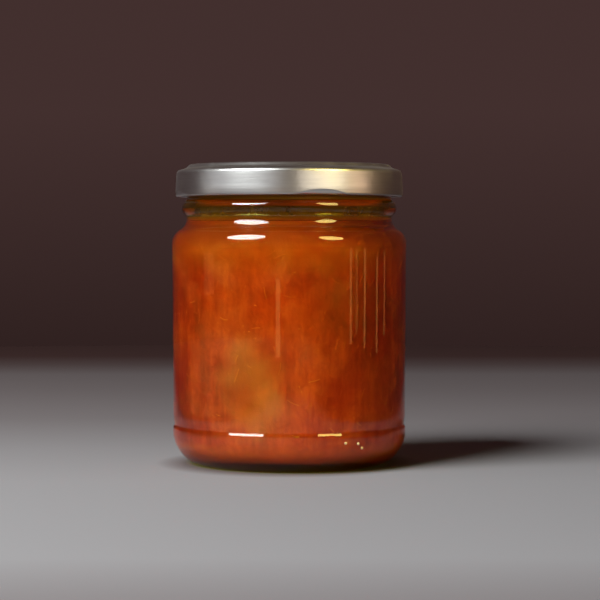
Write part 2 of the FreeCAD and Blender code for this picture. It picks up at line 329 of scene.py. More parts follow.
# %% Glass section
BODY, PANEL_FOOT, GROOVE, HEEL = 35.85, 35.5, 35.2, 35.6
NECK, BEAD_Z, BEAD_HALF, BEAD_REACH = 31.35, 78.05, 2.45, 2.92
RIM_Z, BORE = 89.9, 28.75
CAVITY_FOOT, CAVITY_TOP = 33.2, 33.35
GLASS_TURNS = 272       # keeps the wall under 200,000 triangles

CAVITY = [
    (0, 5.6, 0),
    (CAVITY_FOOT, 3.6, 4.8),
    (CAVITY_TOP, 68.6, 4.0),
    (BORE, 71.65, 4.0),
]
OUTSIDE = [
    (0, 2.4, 0),
    (21.84, 1.92, 10.0),
    (26.0, 0, 0.85),
    (28.4, 0, 0.85),
    (HEEL, 2.62, 10.0),
    (HEEL, 11.2, 0.5),
    (GROOVE, 12.05, 0.5),
    (PANEL_FOOT, 14.4, 10.0),
    (BODY, 70.2, 4.1),
    (NECK, 72.5, 4.1),
    (NECK, BEAD_Z - BEAD_HALF, 0.9),
    (NECK + BEAD_REACH, BEAD_Z, 2.7),
    (NECK, BEAD_Z + BEAD_HALF, 0.9),
    (NECK, RIM_Z, 0.85),
    (BORE, RIM_Z, 0.85),
]
section = wire_section(OUTSIDE + CAVITY[::-1], closed=False, longest=1.4)
glass_bm = spin_section(section, turns=GLASS_TURNS)
print("glass rings", len(glass_bm.verts) // GLASS_TURNS, "of", GLASS_TURNS, "vertices")

# %% [markdown]
# ### Thread and thickness
# Under the lid the neck carries four short slanting threads that the lid's lugs slide under.
# They are raised from the wall by moving its vertices. The inside wall gets a slow ripple,
# because blown glass is never the same thickness all round: it makes the jam shimmer.

# %% Glass relief
LUG_TURN = math.radians(270 + 16.4)
THREAD_Z, THREAD_REACH, THREAD_HALF, THREAD_DROP = 84.9, 1.25, 0.95, 1.9
THREAD_ARC, THREAD_START = math.radians(66), math.radians(20)
OUTER_WALL = 30.5                       # the neck's outer wall lies beyond this radius
FINER_RINGS = (81.0, 89.0)              # heights that get finer rings for the threads
THREAD_HEIGHTS = (82.0, 88.5)           # heights where a thread may rise
RIPPLE_HEIGHTS, RIPPLE_RADII = (3.0, 89.0), (20, 34.0)
RIPPLE_DEPTH, RIPPLE_SCALE = 0.07, 85


def thread_rise(point):
    """How far the thread stands out of the neck here, in mm: four threads, one per lug."""
    angle = math.atan2(point.y, point.x) - LUG_TURN
    along = ((angle + THREAD_START) % (math.tau / 4)) / THREAD_ARC
    if along > 1:
        return 0.0
    centre = THREAD_Z + THREAD_DROP * (0.55 - along) * 0.9
    across = abs(point.z / MM - centre) / THREAD_HALF
    if across >= 1:
        return 0.0
    ends = min(1.0, 6 * along, 6 * (1 - along))
    return THREAD_REACH * math.cos(across * math.pi / 2) ** 0.7 * ends


def between(value, limits):
    return limits[0] < value < limits[1]


def by_the_threads(vert):
    """Whether this vertex is on the neck's outer wall, where the rings get finer."""
    return between(vert.co.z / MM, FINER_RINGS) and radius_of(vert.co) / MM > OUTER_WALL


neck_edges = [e for e in glass_bm.edges
              if all(by_the_threads(v) for v in e.verts)
              and abs(e.verts[0].co.z - e.verts[1].co.z) > 1e-5]
print("neck edges cut for the threads", len(neck_edges))
bmesh.ops.subdivide_edges(glass_bm, edges=neck_edges, cuts=4, use_grid_fill=True)
for vert in glass_bm.verts:
    radius = radius_of(vert.co) / MM
    height = vert.co.z / MM
    inward = vert.normal.to_2d().dot(vert.co.to_2d()) < 0
    if radius > OUTER_WALL and between(height, THREAD_HEIGHTS):
        push_out(vert, thread_rise(vert.co) * MM)
    elif between(height, RIPPLE_HEIGHTS) and between(radius, RIPPLE_RADII) and inward:
        push_out(vert, RIPPLE_DEPTH * MM * noise.noise(vert.co * RIPPLE_SCALE))

# %% Wet mask
FILM_TOP = 88.2
WET_RADIUS, WET_FLOOR = 33.9, 3.0       # the hollow lies within these
wet_layer = glass_bm.verts.layers.float.new("wet")
for vert in glass_bm.verts:
    height = vert.co.z / MM
    faces_hollow = vert.normal.dot(Vector((-vert.co.x, -vert.co.y, 0.004))) > 0
    in_hollow = radius_of(vert.co) / MM < WET_RADIUS and WET_FLOOR < height < FILM_TOP
    vert[wet_layer] = float(faces_hollow and in_hollow)
print("wet vertices", sum(vert[wet_layer] > 0 for vert in glass_bm.verts))
glass = finish_piece(glass_bm, "glass_wall", glass_material)
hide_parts("glass_jar")

# %% [markdown]
# ### Mould dots
# Glass moulds are told apart by a few raised dots low on the heel. They are three flattened
# drops, half sunk in the wall. Such a drop gathers light from all round, so it gets a bright
# metal-like finish, which catches the lamps as a small spark.

# %% Mould dots
def surface_point(turn_from_front, radius, height):
    """A point on the jar, turned from the front towards the right, from mm to metres."""
    angle = math.radians(turn_from_front)
    return Vector((math.sin(angle) * radius, -math.cos(angle) * radius, height)) * MM


DOTS = ((27.7, 35.5, 8.95), (34.7, 35.5, 8.6), (37.3, 35.2, 7.25))     # turn, radius, height
DOT_SIZE = (0.46, 0.26, 0.46)           # half its width, depth and height
dots_bm = bmesh.new()
for turn, radius, height in DOTS:
    place = Matrix.Translation(surface_point(turn, radius, height))
    flat = Matrix.Rotation(math.radians(turn), 4, "Z") @ Matrix.Diagonal((*DOT_SIZE, 1))
    bmesh.ops.create_icosphere(dots_bm, subdivisions=3, radius=MM, matrix=place @ flat)


def make_dot_material():
    """A pale, rather rough mirror: the spark that a small drop of glass makes."""
    material, tree, output = new_material("dot_glint")
    worn = noise_value(tree, object_space(tree), 3000.0, 2.0)
    colour = colour_ramp(tree, worn, ((0.3, (0.95, 0.72, 0.42)), (0.7, (1.0, 0.85, 0.60))))
    glint = add_node(tree, "ShaderNodeBsdfPrincipled", Base_Color=colour, Metallic=1.0,
                     Roughness=0.50)
    tree.links.new(glint.outputs["BSDF"], output.inputs["Surface"])
    return material


finish_piece(dots_bm, "mould_dots", make_dot_material())

# %% [markdown]
# ## Jam syrup
# Set jam is fruit in a clear orange gel. The gel is a body of its own, just wide enough to
# reach into the glass, so that no air shows between them. It soaks up blue fastest, then
# green, so the deeper a piece of fruit lies the redder and darker it looks. Jars are
# filled hot and turned over, and that leaves a thin amber film up the inside of the neck.

# %% Syrup material
def make_syrup_material():
    material, tree, output = new_material("jam_syrup")
    wobble = noise_value(tree, object_space(tree), 140.0, 3.0)
    bump = add_node(tree, "ShaderNodeBump", Height=wobble, Strength=0.25, Distance=0.0008)
    haze = noise_value(tree, object_space(tree), 55.0, 4.0, 0.6)
    gel = add_node(tree, "ShaderNodeBsdfPrincipled", Base_Color=(1.0, 0.93, 0.75, 1),
                   IOR=1.42, Transmission_Weight=1.0, Normal=bump.outputs["Normal"],
                   Roughness=value_range(tree, haze, 0.0, 0.08, 0.35, 0.75))
    # black, so that the gel shows no mirror of its own inside the glass
    gel.inputs["Specular Tint"].default_value = (0, 0, 0, 1)
    clear_in_shadow(tree, gel, (0.98, 0.88, 0.55), output)
    amber = add_node(tree, "ShaderNodeVolumeAbsorption", Color=(0.975, 0.894, 0.75, 1),
                     Density=1600.0)
    tree.links.new(amber.outputs["Volume"], output.inputs["Volume"])
    return material


syrup_material = make_syrup_material()

# %% Syrup body
INTO_WALL = 0.12        # how far gel and film reach into the glass
LEVEL = 73.8            # height of the jam's surface
FILM = 0.28             # how far the film stands in from the bore
WALL_FROM = 27.5        # the section's wall lies beyond this radius
WAVE_HEIGHT, WAVE_SCALE = 0.55, 160


def jam_corners(inset, level):
    """The hollow's section moved outwards (or in), closed by the jam's surface."""
    (_, floor, _), (foot, foot_z, foot_r), (top, top_z, top_r), (bore, neck_z, neck_r) = CAVITY
    return [
        (0, floor + inset, 0),
        (foot - inset, foot_z + inset, foot_r),
        (top - inset, top_z - inset * 0.6, top_r),
        (bore - inset, neck_z - inset * 0.6, neck_r),
        (bore - inset, level + 0.7, 0.25),
        (bore - 2.2, level, 1.8),
        (0, level - 0.35, 0),
    ]


gel_bm = wire_section(jam_corners(-INTO_WALL, LEVEL), closed=False, longest=1.4)
wall_line = sorted((v.co.z, v.co.x) for v in gel_bm.verts if v.co.x > WALL_FROM * MM)


def wall_radius(height):
    """Radius of the gel's wall at a height, read off its section, in metres."""
    for (z1, r1), (z2, r2) in zip(wall_line, wall_line[1:]):
        if z1 <= height <= z2:
            return r1 + (r2 - r1) * (height - z1) / max(z2 - z1, 1e-9)
    return wall_line[0][1] if height < wall_line[0][0] else wall_line[-1][1]


spin_section(gel_bm, turns=200)
for vert in gel_bm.verts:
    if vert.co.z > (LEVEL - 0.6) * MM and radius_of(vert.co) < (BORE - 0.4) * MM:
        vert.co.z += WAVE_HEIGHT * MM * noise.noise(vert.co * WAVE_SCALE)
gel = finish_piece(gel_bm, "jam_syrup", syrup_material)
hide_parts("jam")

# %% [markdown]
# ### Film in the neck
# The film is a closed sleeve about 0.4 millimetres thick. It starts under the jam's surface,
# reaches into the glass, and is thicker in some runs than in others. Its colour changes with
# height: redder at its foot, bright orange in a narrow ring behind the bead, and golden above:
# the film's amber, painted much brighter there as light, since the lid shades the neck.

# %% Film material
FOOT_HEIGHTS = (0.0742, 0.0758)         # all in metres
RING_START, RING_END = (0.0781, 0.0783), (0.0790, 0.0792)
LIT_UPPER_HEIGHTS = (0.0792, 0.0796)


def make_film_material():
    material, tree, output = new_material("jam_film")
    runs = noise_value(tree, object_space(tree, (1, 1, 0.4)), 130.0, 4.0, 0.6, 0.8)
    colour = colour_ramp(tree, runs,
                         ((0.35, (0.27, 0.125, 0.013)), (0.65, (0.24, 0.076, 0.005))))
    height = add_node(tree, "ShaderNodeSeparateXYZ", Vector=object_space(tree)).outputs["Z"]
    ring = add_node(tree, "ShaderNodeMath", {"operation": "MULTIPLY"})
    tree.links.new(value_range(tree, height, 0.0, 1.0, *RING_START), ring.inputs[0])
    tree.links.new(value_range(tree, height, 1.0, 0.0, *RING_END), ring.inputs[1])
    colour = mix_colour(tree, ring.outputs[0], colour, (1.0, 0.17, 0.015, 1))
    # painted light: a much brighter golden colour above the bead, where the lid shades the
    # neck
    painted_lit_upper = value_range(tree, height, 0.0, 1.0, *LIT_UPPER_HEIGHTS)
    colour = mix_colour(tree, painted_lit_upper, colour, (1.0, 0.46, 0.06, 1))
    foot = value_range(tree, height, 0.8, 0.0, *FOOT_HEIGHTS)
    colour = mix_colour(tree, foot, colour, (0.40, 0.078, 0.006, 1))
    bump = add_node(tree, "ShaderNodeBump", Height=runs, Strength=0.4, Distance=0.0008)
    film = add_node(tree, "ShaderNodeBsdfPrincipled", Base_Color=colour, IOR=1.42,
                    Transmission_Weight=0.5, Normal=bump.outputs["Normal"],
                    Roughness=value_range(tree, runs, 0.0, 0.14, 0.45, 0.7))
    clear_in_shadow(tree, film, (0.98, 0.88, 0.60), output)
    return material


# %% Film sleeve
RUN_DEPTH, RUN_SCALE = 0.32, 300
film_bm = wire_section([
    (BORE + INTO_WALL, LEVEL - 0.2, 0),
    (BORE + INTO_WALL, FILM_TOP, 0),
    (BORE - FILM, FILM_TOP - 0.5, 0.1),
    (BORE - FILM, LEVEL - 0.2, 0),
], closed=True, longest=0.6)
spin_section(film_bm, turns=320)
for vert in film_bm.verts:
    if radius_of(vert.co) < (BORE - 0.1) * MM:
        push_out(vert, RUN_DEPTH * MM * noise.noise(vert.co * RUN_SCALE))
film = finish_piece(film_bm, "jam_film", make_film_material())

# %% [markdown]
# ## Fruit pulp
# Most of the jam is cooked-down fruit: a cloudy mass with darker, clearer pockets. It is a
# lumpy core a little way inside the glass. Where it lies deep, more gel covers it and it
# looks darker. Its own colour comes from slow noise, from deep brown-red through orange to
# pale hazy pulp, with a few paler clouds where the fruit has settled against the wall. Two
# clouds on the front right are painted light instead: the glow of the golden lamp, which
# leaves the fruit out. Bands of height paint light and shade on it: a brighter belt below
# the shoulder, a darker band on the shoulder, which faces up, and brighter jam at the very
# top, under the lid's shade, and at the foot, whose rounded underside is in shade.

# %% Pulp material
PALE_CLOUDS_AND_LAMP_GLOW = (
    # centre in mm, reach in mm, and how pale the middle is
    ((-12.0, -32.0, 34.0), 8.0, 0.55),
    ((-11.0, -32.0, 28.0), 10.0, 0.85),
    ((-10.5, -32.5, 21.0), 10.0, 0.8),
    ((-3.0, -33.0, 17.0), 8.0, 0.15),
    # painted light: the next two stand for the golden lamp's glow on the front right
    ((13.0, -30.0, 62.0), 6.0, 0.5),
    ((13.0, -32.0, 50.0), 17.0, 0.22),
    ((24.0, 16.0, 40.0), 14.0, 0.8),
    ((-20.0, 22.0, 50.0), 14.0, 0.8),
    ((8.0, 28.0, 18.0), 15.0, 0.8),
)


CLOUD_BEND, CLOUD_EDGE = 0.016, 0.009       # in metres


def cloud_and_glow_mask(tree, space, soft_noise):
    """1 inside the pale clouds and the painted lamp glow, falling off softly, with edges that
    the noise bends.
    """
    total = None
    for centre, reach, paleness in PALE_CLOUDS_AND_LAMP_GLOW:
        distance = add_node(tree, "ShaderNodeVectorMath", {"operation": "DISTANCE"})
        tree.links.new(space, distance.inputs[0])
        distance.inputs[1].default_value = [v * MM for v in centre]
        bent = add_node(tree, "ShaderNodeMath", {"operation": "MULTIPLY_ADD"})
        tree.links.new(soft_noise, bent.inputs[0])
        bent.inputs[1].default_value = CLOUD_BEND
        tree.links.new(distance.outputs["Value"], bent.inputs[2])
        inside = value_range(tree, bent.outputs[0], paleness, 0.0, CLOUD_EDGE,
                             reach * MM + CLOUD_EDGE)
        if total is None:
            total = inside
            continue
        more = add_node(tree, "ShaderNodeMath", {"operation": "MAXIMUM"})
        tree.links.new(total, more.inputs[0])
        tree.links.new(inside, more.inputs[1])
        total = more.outputs[0]
    return total


def make_pulp_material(name, dark, middle, light, pale, grain):
    """Cooked apricot: colours in cloudy layers, soft inside, slightly wet."""
    material, tree, output = new_material(name)
    space = object_space(tree)
    clouds = noise_value(tree, space, 38.0, 3.0, 0.5, 0.6)
    shreds = noise_value(tree, object_space(tree, (1.0, 1.0, 0.6)), grain, 6.0, 0.68, 2.2)
    streaks = noise_value(tree, object_space(tree, (1.0, 1.0, 0.10)), 300.0, 3.0)
    threads = noise_value(tree, object_space(tree, (1.0, 1.0, 0.15)), 620.0, 2.0)
    tone = clouds
    for detail, share in ((shreds, 0.40), (streaks, 0.28), (threads, 0.16)):
        blend = add_node(tree, "ShaderNodeMix", {"data_type": "FLOAT"})
        blend.inputs[0].default_value = share
        tree.links.new(tone, blend.inputs[2])
        tree.links.new(detail, blend.inputs[3])
        tone = blend.outputs[0]
    colour = colour_ramp(tree, tone,
                         ((0.36, dark), (0.50, middle), (0.62, light)))
    colour = mix_colour(tree, cloud_and_glow_mask(tree, space, clouds), colour, (*pale, 1))
    parts = add_node(tree, "ShaderNodeSeparateXYZ", Vector=space)
    height = parts.outputs["Z"]
    # painted light and shade by height: a lit belt below the shoulder, a shaded band on the
    # shoulder, lit jam at the top and at the foot
    painted_light_bands = (
        # how strong, from which height to which in metres, and its colour
        (0.65, 0.057, 0.064, (0.78, 0.24, 0.035)),
        (0.65, 0.0652, 0.0682, dark),
        (0.3, 0.071, 0.0725, (0.90, 0.20, 0.014)),
        (0.8, 0.0086, 0.0056, (0.95, 0.21, 0.014)),
    )
    for strength, start, end, tint in painted_light_bands:
        painted_band = value_range(tree, height, 0.0, strength, start, end)
        colour = mix_colour(tree, painted_band, colour, (*tint, 1))
    bump = add_node(tree, "ShaderNodeBump", Height=shreds, Strength=0.35, Distance=0.0006)
    pulp = add_node(tree, "ShaderNodeBsdfPrincipled", Base_Color=colour, Roughness=0.5,
                    Subsurface_Weight=0.5, Subsurface_Scale=0.0012,
                    Normal=bump.outputs["Normal"])
    pulp.inputs["Subsurface Radius"].default_value = (1.0, 0.35, 0.08)
    tree.links.new(pulp.outputs["BSDF"], output.inputs["Surface"])
    return material


pulp_material = make_pulp_material("jam_pulp", (0.36, 0.032, 0.006), (0.60, 0.066, 0.016),
                                   (0.78, 0.128, 0.028), (0.74, 0.31, 0.14), 320.0)

# %% Pulp core
CORE_DEPTH = 1.5
LUMP_SIZE, LUMP_SCALE = 1.8, 70
DEEPEST, PROUDEST = -2.2, 1.0           # limits of a lump
CALM_SHARE, CALM_FOOT, CALM_TOP = 0.15, 5, 69       # where the lumps fade, and how far
CORE = [
    (0, 6.5, 0),
    (CAVITY_FOOT - 0.5, 4.0, 4.4),
    (CAVITY_TOP - CORE_DEPTH, 67.9, 4.0),
    (BORE - 0.8, 71.1, 3.0),
    (BORE - 0.8, LEVEL - 0.2, 0.5),
    (0, LEVEL - 0.6, 0),
]


def core_lump(point):
    """How far the core swells out here, in mm. It stays even near the bottom and the neck."""
    height = point.z / MM
    calm = max(CALM_SHARE, min(1.0, (height - CALM_FOOT) / 8, (CALM_TOP - height) / 6))
    lump = LUMP_SIZE * noise.fractal(point * LUMP_SCALE, 1.0, 2.0, 3)
    return calm * max(DEEPEST, min(PROUDEST, lump))


core_bm = wire_section(CORE, closed=False, longest=1.3)
spin_section(core_bm, turns=150)
for vert in core_bm.verts:
    push_out(vert, core_lump(vert.co) * MM)
core = finish_piece(core_bm, "jam_pulp", pulp_material)

# %% [markdown]
# ## Flecks of fruit
# Cooked apricot goes to soft scraps, and the finest of them hang in the gel in front of the
# pulp. Each is a small ball of twenty faces, pushed out of shape by noise and flattened,
# then laid along the wall.

# %% Flecks of fruit
dice = random.Random(20)
SCRAP_HEIGHTS = (8, LEVEL - 6)


def core_depth(turn, height):
    """How deep the core lies under the wall at a turn and height, in mm."""
    radius = wall_radius(height * MM) / MM - CORE_DEPTH
    return CORE_DEPTH - core_lump(surface_point(turn, radius, height))


def place_along_wall(turn, height, depth):
    """A matrix at this spot, facing out, with a random lean and tip."""
    radius = wall_radius(height * MM) / MM - depth
    spot = Matrix.Translation(surface_point(turn, radius, height))
    face_out = Matrix.Rotation(math.radians(turn), 4, "Z")
    lean = Matrix.Rotation(dice.uniform(-math.pi, math.pi), 4, "Y")
    tip = Matrix.Rotation(dice.uniform(-0.12, 0.12), 4, "X")
    return spot @ face_out @ lean @ tip


def scatter_scraps(name, count, sizes, flatness, proud, material, subdivisions):
    """Scraps of a size range, standing out of the core by a range of distances."""
    bm = bmesh.new()
    for _ in range(count):
        long_side = dice.uniform(*sizes)
        wide = long_side * dice.uniform(0.15, 0.4)
        thick = long_side * flatness * dice.uniform(0.7, 1.3)
        turn, height = dice.uniform(0, 360), dice.uniform(*SCRAP_HEIGHTS)
        depth = max(0.3, core_depth(turn, height) - dice.uniform(*proud)) + thick / 2
        scrap = bmesh.ops.create_icosphere(
            bm, subdivisions=subdivisions, radius=0.5 * MM,
            matrix=Matrix.Identity(4))["verts"]
        seed = Vector((dice.random(), dice.random(), dice.random())) * 50
        for vert in scrap:
            vert.co *= 1 + 0.8 * noise.noise(vert.co / MM * 2.6 + seed)
        shape = Matrix.Diagonal((long_side, thick, wide, 1))
        bmesh.ops.transform(bm, verts=scrap,
                            matrix=place_along_wall(turn, height, depth) @ shape)
    return finish_piece(bm, name, material)


scrap_material = make_pulp_material("fruit_scraps", (0.66, 0.10, 0.010),
                                    (0.88, 0.22, 0.030), (0.95, 0.34, 0.06),
                                    (0.92, 0.40, 0.14), 420.0)
flecks = scatter_scraps("fruit_flecks", 130, (0.4, 1.0), 0.45, (0.1, 0.9), scrap_material, 1)

# %% [markdown]
# ## Fibres
# Cooked apricot falls into fine threads. Each fibre is a tiny five-sided section that is spun
# a short way round a distant centre, which bends it into a gentle arc.

# %% Fibres
def scatter_fibres(count):
    bm = bmesh.new()
    for _ in range(count):
        thickness = dice.uniform(0.05, 0.11) * MM
        length = dice.uniform(1.5, 4.5) * MM
        bend = dice.uniform(0.2, 0.9)
        away = length / bend
        ring = bmesh.ops.create_circle(bm, cap_ends=False, radius=thickness, segments=5,
                                       matrix=Matrix.Rotation(math.pi / 2, 4, "X"))["verts"]
        edges = list({e for v in ring for e in v.link_edges})
        spun = bmesh.ops.spin(bm, geom=ring + edges, cent=(away, 0, 0), axis=(0, 0, 1),
                              angle=bend, steps=7, use_merge=False, use_duplicate=False)
        last = [g for g in spun["geom_last"] if isinstance(g, bmesh.types.BMVert)]
        bmesh.ops.contextual_create(bm, geom=ring)
        bmesh.ops.contextual_create(bm, geom=last)
        seen = set(ring)
        while True:
            more = {e.other_vert(v) for v in seen for e in v.link_edges} - seen
            if not more:
                break
            seen |= more
        turn, height = dice.uniform(0, 360), dice.uniform(*SCRAP_HEIGHTS)
        depth = max(0.4, core_depth(turn, height) - dice.uniform(0.1, 0.8))
        upright = Matrix.Rotation(math.pi / 2, 4, "X")
        bmesh.ops.transform(bm, verts=list(seen),
                            matrix=place_along_wall(turn, height, depth) @ upright)
    bmesh.ops.recalc_face_normals(bm, faces=bm.faces[:])
    return finish_piece(bm, "fruit_fibres", scrap_material)


fibres = scatter_fibres(130)

# %% [markdown]
# ## The lid
# The lid is drawn from thin tinplate: a sunken panel, a raised ring over the sealing
# compound, a sloping shoulder and a skirt that ends in a rolled hem. Its section is a closed
# wire, the outside of the sheet and back along its inside. Four lugs are pressed into the
# hem, which leaves a flat crescent outside, so those vertices are pushed in.

# %% Lid section
TIN = 0.22
SKIRT, SKIRT_TOP = 34.7, 34.4
HEM_Z, HEM_ROUND = 82.15, 0.65
HEM_ROWS, ROW_STEP = 9, 0.13            # finer rows above the hem, for the dents
RING_TOP, PANEL_Z = 91.25, 90.4

LID_OUTSIDE = [
    (0, PANEL_Z, 0),
    (26.3, PANEL_Z, 0.9),
    (27.3, RING_TOP, 0.9),
    (30.5, RING_TOP, 0.9),
    (31.5, 90.2, 0.9),
    (SKIRT_TOP, 89.3, 1.2),
    *[(SKIRT, HEM_Z + ROW_STEP * row, 0) for row in range(HEM_ROWS, 0, -1)],
    (SKIRT, HEM_Z, 0),
    (SKIRT, HEM_Z - HEM_ROUND, HEM_ROUND * 0.98),
    (SKIRT - 2 * HEM_ROUND, HEM_Z - HEM_ROUND, HEM_ROUND * 0.98),
    (SKIRT - 2 * HEM_ROUND, HEM_Z + HEM_ROUND * 0.8, 0.2),
    (SKIRT - TIN, HEM_Z + HEM_ROUND * 0.9, 0),
    (SKIRT_TOP - TIN, 89.3 - TIN, 1.0),
    (31.5 - TIN * 0.5, 90.2 - TIN, 0.9),
    (30.5 - TIN * 0.5, RING_TOP - TIN, 0.7),
    (27.3 + TIN * 0.5, RING_TOP - TIN, 0.7),
    (26.3 + TIN * 0.5, PANEL_Z - TIN, 0.9),
    (0, PANEL_Z - TIN, 0),
]
lid_bm = spin_section(wire_section(LID_OUTSIDE, closed=False, longest=1.2), turns=360)

# %% Lugs
LUG_HALF = math.radians(16)
DENT_DEPTH, DENT_HEIGHT, LUG_REACH = 1.0, 1.6, 0.85
LUG_TOP, SQUEEZE_TOP, LUG_RADIUS = 3.2, 2.4, 32     # a lug's limits above the hem and inwards
HEM_FOOT = HEM_Z - HEM_ROUND


def lug_share(point):
    """0 away from a lug and 1 at its middle, with the turn from its middle."""
    angle = (math.atan2(point.y, point.x) - LUG_TURN + math.pi / 4) % (math.pi / 2)
    off = abs(angle - math.pi / 4) / LUG_HALF
    return max(0.0, 1 - off * off), angle - math.pi / 4


for vert in lid_bm.verts:
    share, turn = lug_share(vert.co)
    height = vert.co.z / MM - HEM_FOOT
    if share <= 0 or height > LUG_TOP or radius_of(vert.co) / MM < LUG_RADIUS:
        continue
    radius = radius_of(vert.co) / MM
    flat = (SKIRT - DENT_DEPTH * (1 - height / DENT_HEIGHT)) / math.cos(turn)
    pressed = min(0.0, flat - SKIRT)
    inner = max(0.0, min(1.0, (SKIRT - TIN - radius) / (2 * HEM_ROUND - TIN)))
    squeeze = -LUG_REACH * share ** 0.5 * inner * max(0.0, 1 - height / SQUEEZE_TOP)
    push_out(vert, (pressed + squeeze) * MM)

# %% [markdown]
# ### Lid finish
# The tin is lacquered silver with a satin gloss. The mill leaves fine lines that run round
# the skirt, and the lacquer has a slight mottle, both far too small to model. They are a
# bump and a change of roughness from stretched noise.

# %% Tin material
def make_tin_material():
    material, tree, output = new_material("satin_tin")
    lines = noise_value(tree, object_space(tree, (0.12, 0.12, 2.6)), 420.0, 4.0, 0.7)
    mottle = noise_value(tree, object_space(tree), 900.0, 2.0)
    rough = smudges(tree, 0.30, 0.38, 70.0)
    bump = add_node(tree, "ShaderNodeBump", Height=lines, Strength=0.12, Distance=0.0002)
    fine = add_node(tree, "ShaderNodeBump", Height=mottle, Strength=0.05, Distance=0.0001,
                    Normal=bump.outputs["Normal"])
    colour = colour_ramp(tree, lines, ((0.3, (0.60, 0.605, 0.615)), (0.7, (0.70, 0.70, 0.70))))
    tin = add_node(tree, "ShaderNodeBsdfPrincipled", Base_Color=colour, Metallic=1.0,
                   Roughness=rough, Normal=fine.outputs["Normal"])
    tree.links.new(tin.outputs["BSDF"], output.inputs["Surface"])
    return material


lid = finish_piece(lid_bm, "tin_lid", make_tin_material())
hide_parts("lid")

# %% [markdown]
# ### Sealing ring
# The soft ring under the lid keeps its measured solid and gets a matt off-white finish.

# %% Sealing ring material
def make_seal_material():
    material, tree, output = new_material("sealing_compound")
    mottle = noise_value(tree, object_space(tree), 300.0, 3.0)
    colour = colour_ramp(tree, mottle, ((0.3, (0.62, 0.60, 0.56)), (0.7, (0.74, 0.73, 0.70))))
    compound = add_node(tree, "ShaderNodeBsdfPrincipled", Base_Color=colour, Roughness=0.6)
    tree.links.new(compound.outputs["BSDF"], output.inputs["Surface"])
    return material


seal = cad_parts["seal_ring"]
seal.data.materials.clear()
seal.data.materials.append(make_seal_material())

# %% [markdown]
# ## Floor and lamps
# The jar stands on a round table whose colour is a painted pool of light. A pale lane runs
# from front to back over it, a touch wider than the lens sees at each distance, and fades to
# painted shade beside the view. The lane also changes in steps from front to back, darker at
# the front and at the back, and a painted contact shadow, a dark ring, lies round the jar's
# foot.
#
# A large soft lamp hangs high on the left like a window and a smaller golden one stands on the
# right. They give the glass and the tin their highlights and leave the fruit out; the right
# one leaves the table out too. The fruit has two soft lamps of its own, one near the front and
# one behind. Low panels light only the lid and the film, and narrow lamps streak the glass.

# %% Floor
# the floor's own pale colour, and the dark colour of its painted shade
PALE_FLOOR, PAINTED_SHADE_FLOOR = (0.262, 0.252, 0.268), (0.060, 0.028, 0.027)
LANE_SPREAD = SENSOR_MM / 2 / LENS_MM       # how fast the lane widens away from the eye
LANE_EDGE = (0.10, 0.16)                    # half the lane's width beside the jar, in metres
LANE_ENDS = (-0.32, 0.68)                   # front and back of the steps, in metres
# a painted contact shadow: the radii of a dark ring round the jar's foot, and how dark it gets
CONTACT_SHADOW_RADII, CONTACT_SHADOW_SHARE = (0.032, 0.041), 0.7
TABLE_THICK = 0.02
LIGHT_POOL_STEPS = (
    # place from front to back, and how much painted light the floor has there
    (0.01, 0.0), (0.07, 0.6), (0.13, 1.0), (0.27, 1.0), (0.36, 0.85), (0.475, 0.56),
    (0.62, 0.45), (0.73, 0.42), (0.81, 0.16), (0.89, 0.0),
)


def painted_pool_colour(share):
    """Painted shade at 0 and the floor's own pale colour, fully lit, at 1."""
    return tuple(share * c + (1 - share) * d for c, d in zip(PALE_FLOOR, PAINTED_SHADE_FLOOR))


